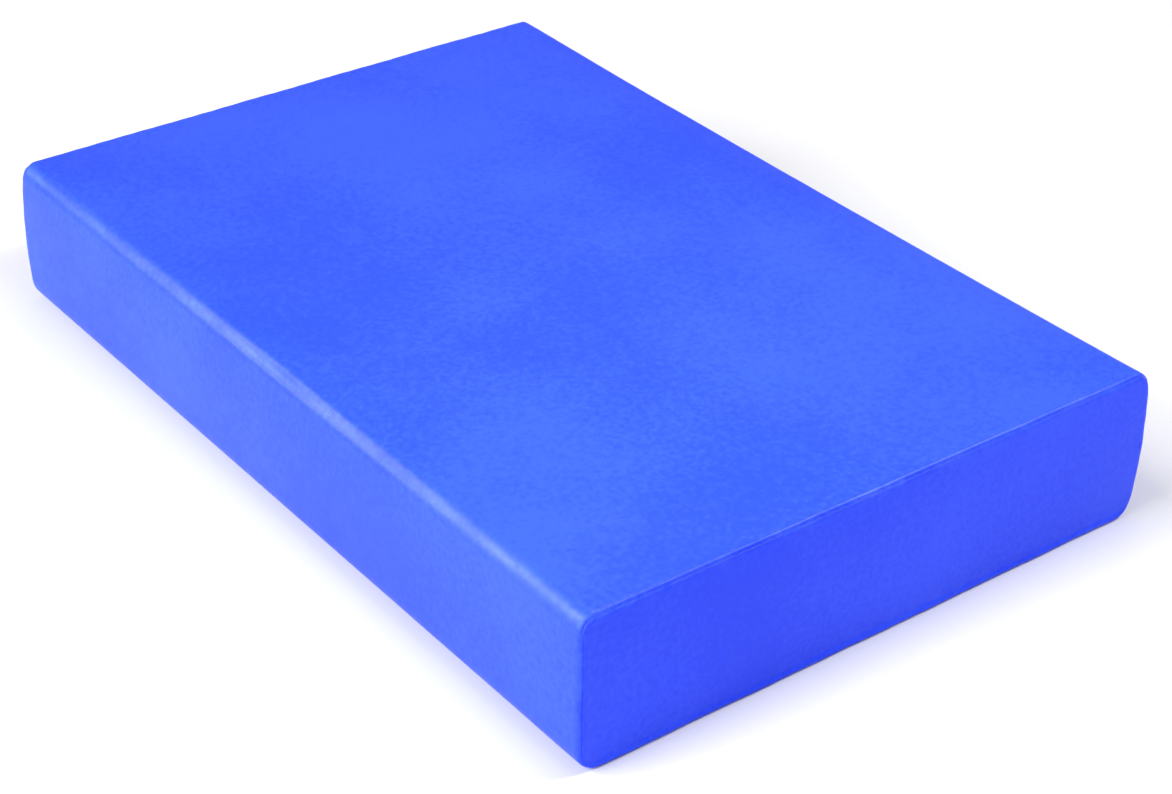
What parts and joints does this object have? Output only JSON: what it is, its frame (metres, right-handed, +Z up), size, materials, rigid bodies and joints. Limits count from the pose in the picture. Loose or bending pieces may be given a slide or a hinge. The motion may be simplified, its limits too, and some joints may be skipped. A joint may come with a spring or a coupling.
{
  "type": "balance pad",
  "caption": "Rectangular foam balance pad in a smooth wipe-clean cover with soft rounded edges, sewn end panels and a zip along one long side.",
  "frame": {"origin": "centre of the flat underside", "axes": "+X across the pad towards the side with the zip, +Y along the pad towards the closed end of the zip, +Z up"},
  "size_m": [0.311, 0.454, 0.075],
  "materials": {
    "cover": "satin",
    "foam": "matte",
    "thread": "satin",
    "zip_tape": "matte",
    "zip_coil": "satin",
    "zip_metal": "satin"
  },
  "bodies": {
    "pad": {"foam_core": "foam", "wrap_panel": "cover", "front_end_panel": "cover", "rear_end_panel": "cover", "base_panel": "cover", "zip_side_strip": "cover", "front_seam_thread": "thread", "rear_seam_thread": "thread", "base_seam_threads": "thread", "zip_tape_upper": "zip_tape", "zip_tape_lower": "zip_tape", "zip_coil_upper": "zip_coil", "zip_coil_lower": "zip_coil", "zip_top_stops": "zip_metal", "zip_bottom_stop": "zip_metal", "zip_bar_tacks": "thread", "zip_stitches_upper": "thread", "zip_stitches_lower": "thread"},
    "slider": {"zip_slider": "zip_metal"},
    "pull": {"zip_pull": "zip_metal"}
  },
  "joints": [
    {"name": "slider_run", "type": "slide", "parent": "pad", "child": "slider", "axis": [0, -1, 0], "range_m": [0, 0.4]},
    {"name": "pull_flip", "type": "hinge", "parent": "slider", "child": "pull", "pos_m": [0.15575, 0.2, 0.0375], "axis": [0, 0, 1], "range_deg": [0, 180]}
  ]
}
